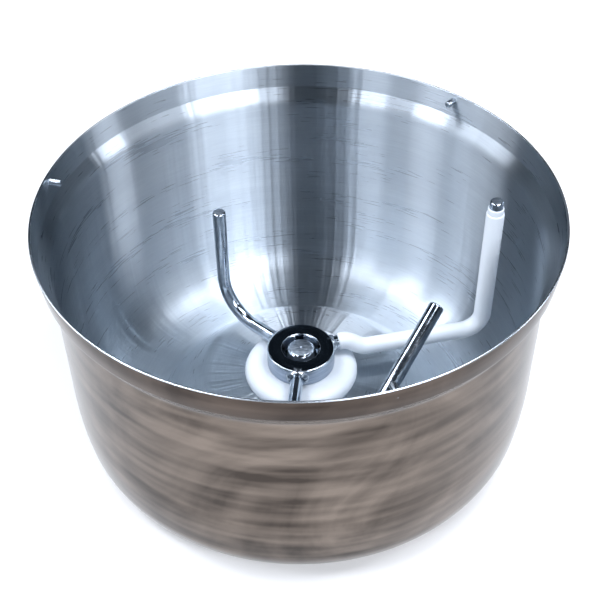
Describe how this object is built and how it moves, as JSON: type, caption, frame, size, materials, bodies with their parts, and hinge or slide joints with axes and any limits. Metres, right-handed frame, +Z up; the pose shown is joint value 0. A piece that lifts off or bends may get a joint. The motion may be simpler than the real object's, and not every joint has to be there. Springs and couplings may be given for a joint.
{
  "type": "kneading bowl",
  "caption": "Open drawn steel kneading bowl with a sealed bottom drive and a lift-out kneading tool that has bent rod arms, one in a plastic sleeve.",
  "frame": {"origin": "centre of the base ring, on the surface the bowl stands on", "axes": "+Z up along the bowl's and the drive's axis, -Y towards the front lid pin's side, +X towards the sleeved arm at rest"},
  "size_m": [0.36, 0.36, 0.2],
  "materials": {
    "brushed_bowl": "drawn sheet, brushed in rings inside and polished outside",
    "pin_steel": "bright zinc-free stainless, machined",
    "turned_steel": "turned, polished top face",
    "polished_rod": "drawn bar, polished",
    "weld_metal": "as welded, brushed clean",
    "bearing_steel": "ground and polished",
    "spring_steel": "blackened",
    "cast_aluminium": "die cast, lightly blasted",
    "bronze": "turned, oiled",
    "black_rubber": "matt",
    "white_plastic": "moulded, satin"
  },
  "bodies": {
    "bowl": {"bowl_shell": "brushed_bowl", "lid_pin_right": "pin_steel", "lid_pin_left": "pin_steel", "lid_pin_front": "pin_steel", "floor_studs": "pin_steel", "housing_gasket": "black_rubber", "bearing_housing": "cast_aluminium", "shaft_seal": "black_rubber", "upper_outer_race": "bearing_steel", "upper_balls": "bearing_steel", "outer_spacer": "pin_steel", "lower_outer_race": "bearing_steel", "lower_balls": "bearing_steel", "housing_circlip": "spring_steel", "lock_ring": "cast_aluminium", "stud_washers": "pin_steel", "stud_nuts": "pin_steel"},
    "drive": {"drive_shaft": "turned_steel", "upper_inner_race": "bearing_steel", "inner_spacer": "pin_steel", "lower_inner_race": "bearing_steel", "drive_key": "spring_steel", "thrust_washer": "bronze", "drive_dog": "cast_aluminium", "dog_screw": "spring_steel"},
    "kneading_tool": {"hub": "turned_steel", "splash_disc": "white_plastic", "disc_screws": "pin_steel", "short_arm": "polished_rod", "short_arm_weld": "weld_metal", "swept_arm": "polished_rod", "swept_arm_weld": "weld_metal", "sleeved_arm": "polished_rod", "sleeved_arm_weld": "weld_metal", "arm_sleeve": "white_plastic"}
  },
  "joints": [
    {"name": "drive_spin", "type": "hinge", "parent": "bowl", "child": "drive", "pos_m": [0, 0, 0.02], "axis": [0, 0, 1], "continuous": true},
    {"name": "tool_lift_off", "type": "slide", "parent": "drive", "child": "kneading_tool", "axis": [0, 0, 1], "range_m": [0, 0.16]}
  ]
}
